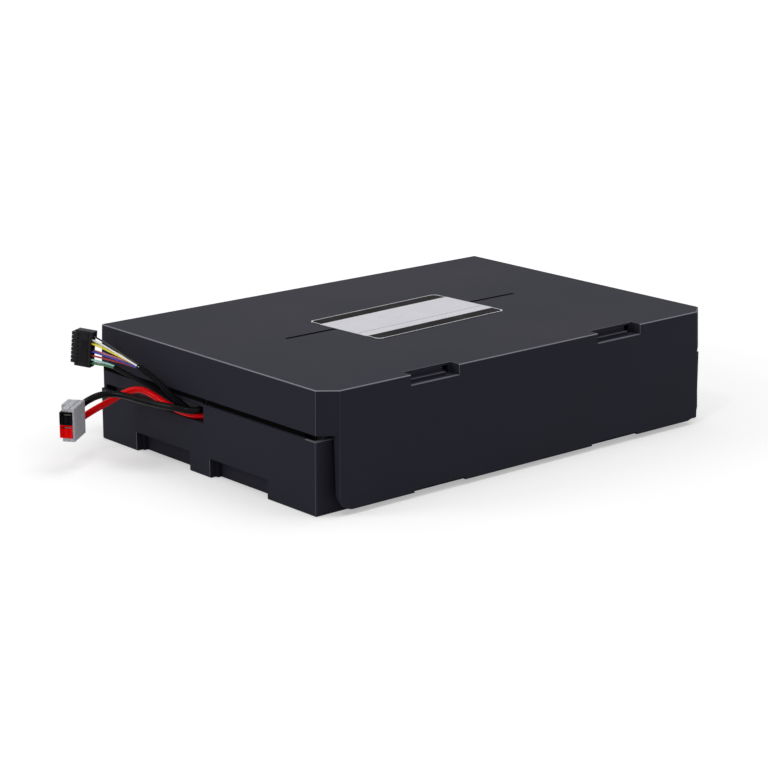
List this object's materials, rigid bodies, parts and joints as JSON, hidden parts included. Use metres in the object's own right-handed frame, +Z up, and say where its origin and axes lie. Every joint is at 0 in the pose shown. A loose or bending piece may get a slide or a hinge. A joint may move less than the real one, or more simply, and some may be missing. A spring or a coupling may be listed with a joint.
{
  "type": "ups battery cartridge",
  "caption": "Flat moulded battery cartridge for a UPS, with a skirted cover, hook pockets, a pair of power leads and a sense-wire loom leaving its front face.",
  "frame": {"origin": "middle of the housing's footprint, on the surface it stands on", "axes": "+Z up, the cable face looks along -Y, the long skirt is on the +X side"},
  "size_m": [0.2207, 0.3787, 0.0746],
  "materials": {
    "housing_plastic": "satin moulded ABS",
    "label_film": "printed film, satin",
    "foam": "soft foam",
    "block_case": "fine grained ABS",
    "tinned_brass": "tinned",
    "receptacle_nylon": "natural nylon",
    "black_insulation": "smooth cable insulation",
    "red_insulation": "smooth cable insulation",
    "black_connector_plastic": "moulded nylon",
    "red_connector_plastic": "moulded polycarbonate",
    "silvered_copper": "silver plated",
    "grey_clamp_plastic": "moulded polycarbonate",
    "sleeve_black": "heat-shrink sleeve",
    "wire_black": "thin wire insulation",
    "wire_white": "thin wire insulation",
    "wire_yellow": "thin wire insulation",
    "wire_cream": "thin wire insulation",
    "wire_blue": "thin wire insulation",
    "wire_pink": "thin wire insulation",
    "wire_red": "thin wire insulation",
    "wire_turquoise": "thin wire insulation",
    "wire_green": "thin wire insulation",
    "wire_grey": "thin wire insulation"
  },
  "bodies": {
    "root": {"cover": "housing_plastic", "tray": "housing_plastic", "top_label": "label_film", "foam_strips": "foam", "battery_1": "block_case", "battery_2": "block_case", "battery_3": "block_case", "battery_4": "block_case", "battery_1_tabs": "tinned_brass", "battery_2_tabs": "tinned_brass", "battery_3_tabs": "tinned_brass", "battery_4_tabs": "tinned_brass", "tab_receptacles": "receptacle_nylon", "link_wire_1_2": "black_insulation", "link_wire_2_3": "black_insulation", "link_wire_3_4": "black_insulation", "black_power_lead": "black_insulation", "red_power_lead": "red_insulation", "black_power_housing": "black_connector_plastic", "red_power_housing": "red_connector_plastic", "power_contacts": "silvered_copper", "power_clamp": "grey_clamp_plastic", "power_clamp_cap": "grey_clamp_plastic", "signal_connector": "black_connector_plastic", "upper_signal_sleeve": "sleeve_black", "lower_signal_sleeve": "sleeve_black", "sense_boot": "sleeve_black", "tap_wires": "wire_grey", "signal_wire_black": "wire_black", "signal_wire_white": "wire_white", "signal_wire_yellow": "wire_yellow", "signal_wire_cream": "wire_cream", "signal_wire_blue": "wire_blue", "signal_wire_pink": "wire_pink", "signal_wire_red": "wire_red", "signal_wire_turquoise": "wire_turquoise", "signal_wire_green": "wire_green", "signal_wire_grey": "wire_grey"}
  },
  "joints": []
}
